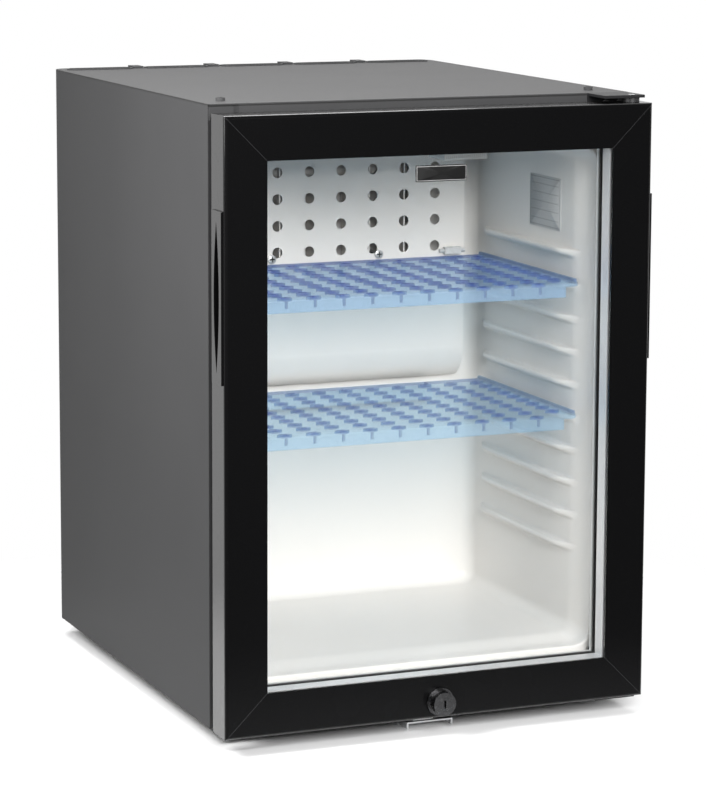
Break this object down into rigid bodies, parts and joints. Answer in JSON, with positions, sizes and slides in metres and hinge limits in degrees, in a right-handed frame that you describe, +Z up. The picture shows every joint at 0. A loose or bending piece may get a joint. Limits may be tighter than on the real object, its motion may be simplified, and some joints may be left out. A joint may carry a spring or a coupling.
{
  "type": "minibar fridge",
  "caption": "Small free-standing minibar fridge with a framed glass door on side hinges, a cam lock, sliding shelves, a perforated cold plate and an absorption cooling unit behind.",
  "frame": {"origin": "centre of the object's bounding box on the floor under the feet", "axes": "+Z up, -Y towards the door, +X towards the hinge side"},
  "size_m": [0.404, 0.497, 0.5604],
  "materials": {
    "casing_paint": "satin",
    "zinc_steel": "satin",
    "black_steel": "satin",
    "black_aluminium": "gloss",
    "spacer_aluminium": "satin",
    "plate_aluminium": "satin",
    "glass": "polished",
    "liner_plastic": "satin",
    "foam": "matte",
    "mineral_wool": "matte",
    "grey_rubber": "matte",
    "black_rubber": "matte",
    "black_plastic": "matte",
    "white_plastic": "gloss",
    "clear_plastic": "gloss",
    "blue_plastic": "gloss",
    "lock_metal": "polished"
  },
  "bodies": {
    "cabinet": {"absorber_coil": "black_steel", "absorber_vessel": "black_steel", "base_pan": "casing_paint", "boiler_insulation": "mineral_wool", "boiler_jacket": "zinc_steel", "boiler_tube": "black_steel", "cabinet_screws": "zinc_steel", "cold_plate": "plate_aluminium", "condenser_fins": "spacer_aluminium", "condenser_pipe": "black_steel", "drain_tube": "white_plastic", "drip_channel": "white_plastic", "evaporation_tray": "white_plastic", "evaporator_fins": "spacer_aluminium", "evaporator_pipe": "spacer_aluminium", "feet": "black_rubber", "heater_cartridge": "lock_metal", "hinge_bracket_bottom": "black_steel", "hinge_bracket_top": "black_steel", "hinge_cover": "casing_paint", "hinge_pins": "zinc_steel", "inner_liner": "liner_plastic", "insulation_foam": "foam", "lamp_base": "white_plastic", "lamp_lens": "clear_plastic", "mains_inlet": "black_plastic", "rear_bulkhead": "zinc_steel", "sensor_bulb": "spacer_aluminium", "sensor_clip": "white_plastic", "side_panel_left": "casing_paint", "side_panel_right": "casing_paint", "solution_pipe": "black_steel", "strike_bracket": "zinc_steel", "terminal_box": "black_plastic", "terminal_lid": "black_plastic", "top_panel": "casing_paint", "unit_supports": "zinc_steel"},
    "door": {"frame_left": "black_aluminium", "frame_right": "black_aluminium", "frame_top": "black_aluminium", "frame_bottom": "black_aluminium", "corner_keys": "black_plastic", "outer_pane": "glass", "inner_pane": "glass", "edge_seal": "black_rubber", "glazing_spacer": "spacer_aluminium", "glazing_bead": "white_plastic", "door_gasket": "grey_rubber", "gasket_magnets": "black_rubber", "grip_left": "black_plastic", "grip_right": "black_plastic", "hinge_bushes": "black_plastic", "lock_barrel": "lock_metal", "lock_nut": "lock_metal"},
    "lock_core": {"lock_plug": "lock_metal", "lock_cam": "lock_metal"},
    "upper_shelf": {"upper_shelf": "blue_plastic"},
    "lower_shelf": {"lower_shelf": "blue_plastic"}
  },
  "joints": [
    {"name": "door_hinge", "type": "hinge", "parent": "cabinet", "child": "door", "pos_m": [0.188, -0.2185, 0.284], "axis": [0, 0, 1], "range_deg": [0, 110]},
    {"name": "lock_turn", "type": "hinge", "parent": "door", "child": "lock_core", "pos_m": [0, -0.2365, 0.0322], "axis": [0, -1, 0], "range_deg": [0, 90]},
    {"name": "upper_shelf_slide", "type": "slide", "parent": "cabinet", "child": "upper_shelf", "axis": [0, -1, 0], "range_m": [0, 0.022]},
    {"name": "lower_shelf_slide", "type": "slide", "parent": "cabinet", "child": "lower_shelf", "axis": [0, -1, 0], "range_m": [0, 0.022]}
  ]
}
